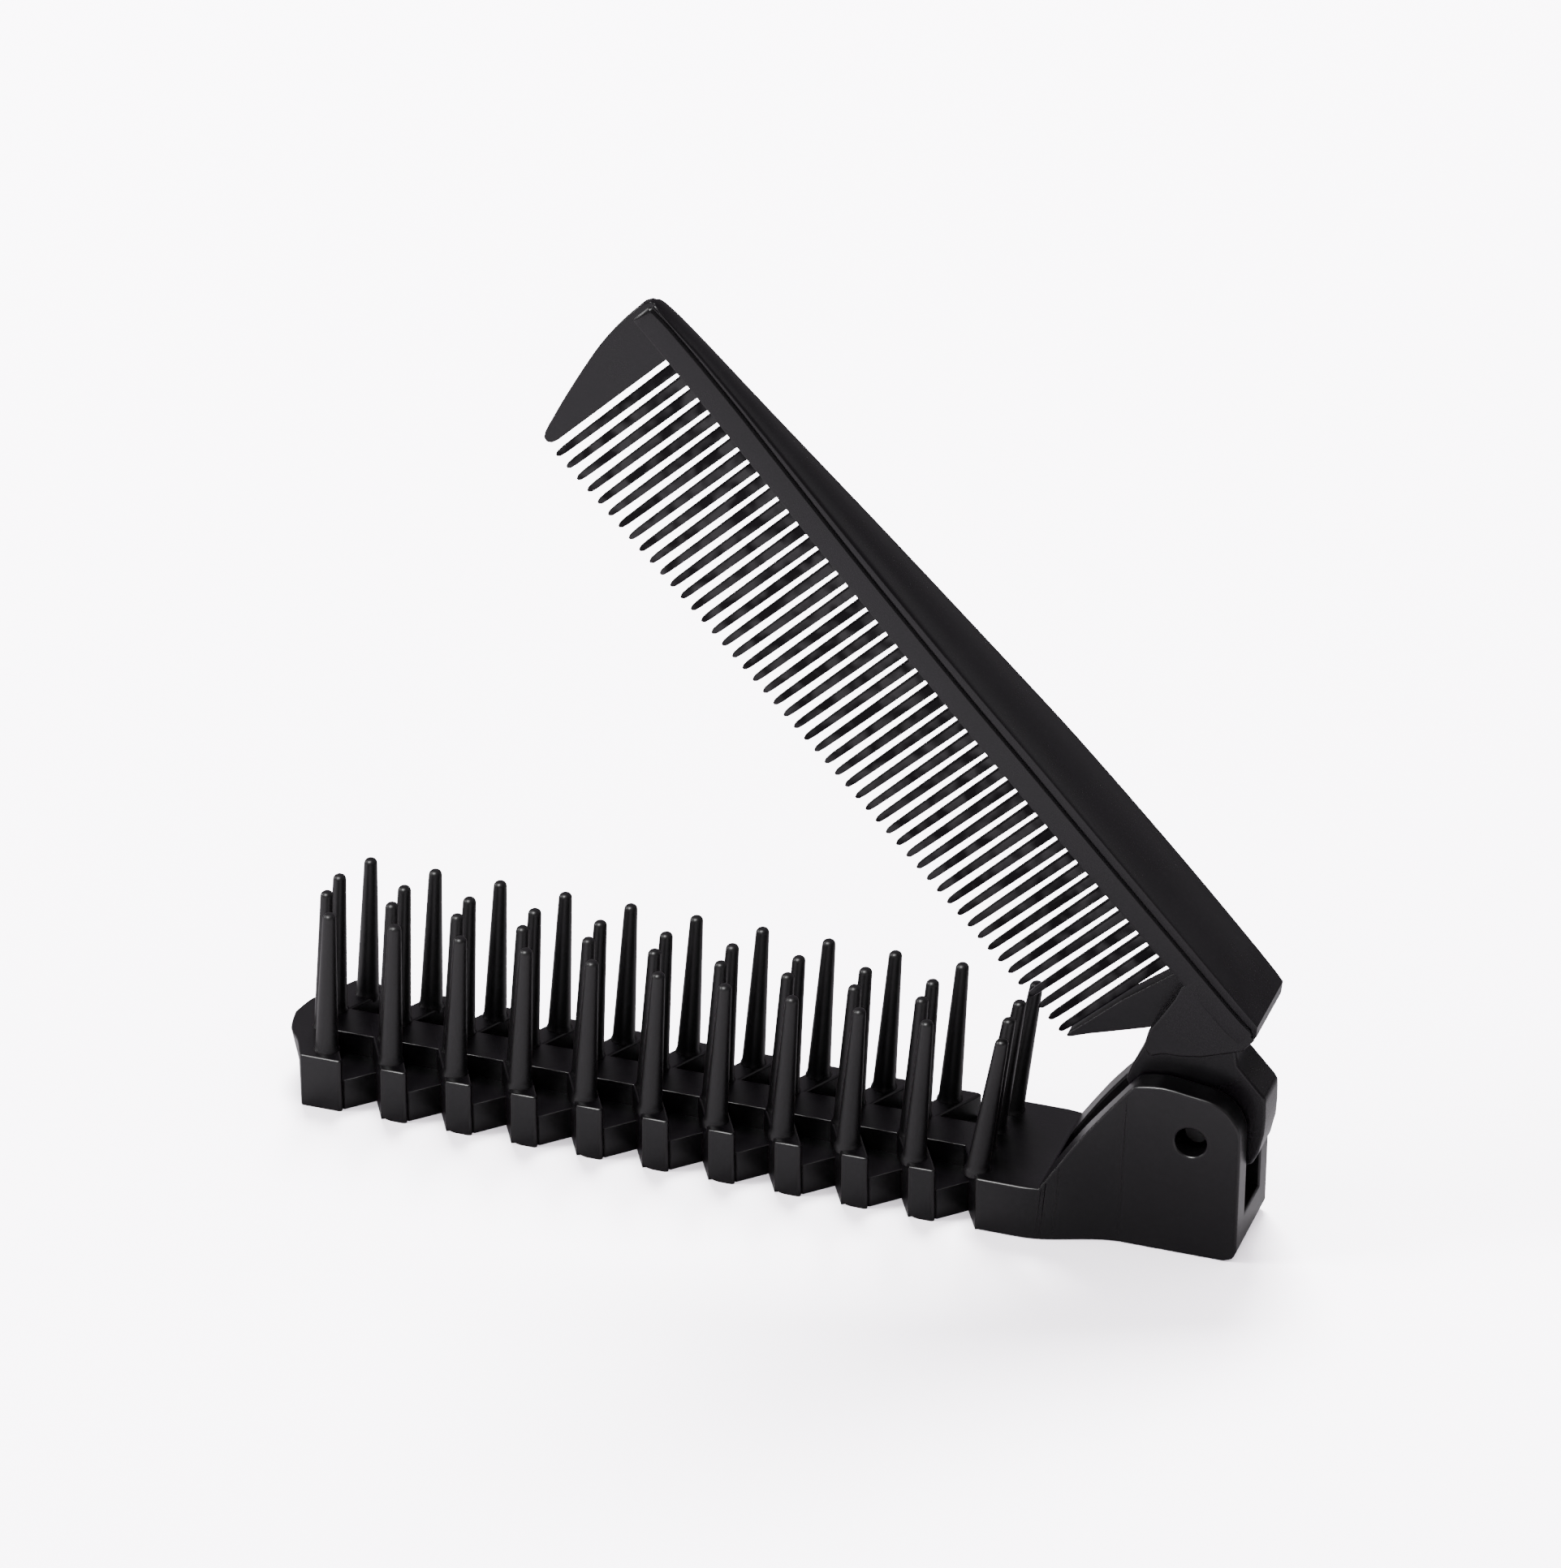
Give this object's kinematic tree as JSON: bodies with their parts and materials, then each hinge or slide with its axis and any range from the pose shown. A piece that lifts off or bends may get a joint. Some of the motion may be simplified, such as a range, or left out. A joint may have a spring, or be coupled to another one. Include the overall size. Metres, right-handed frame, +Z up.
{
  "type": "folding comb",
  "caption": "Folding comb: a fine-tooth comb that swings in a fork at the end of a ribbed vent brush base with upright pins, shown half open.",
  "frame": {"origin": "centre of the part's box, at the bottom, on the ground", "axes": "+X along the brush base from its nose to the fork, +Y across it, +Z up; the pins stand along +Z"},
  "size_m": [0.1198, 0.0184, 0.1083],
  "materials": {
    "base_plastic": "semi-gloss moulded black",
    "comb_plastic": "semi-gloss moulded black, polished back",
    "pin_plastic": "semi-gloss black"
  },
  "bodies": {
    "base": {"brush_base": "base_plastic", "hinge_pin": "pin_plastic"},
    "comb_arm": {"comb": "comb_plastic"}
  },
  "joints": [
    {"name": "comb_fold", "type": "hinge", "parent": "base", "child": "comb_arm", "pos_m": [0.052, 0, 0.0151], "axis": [0, 1, 0], "range_deg": [-46.25, 128.75]}
  ]
}
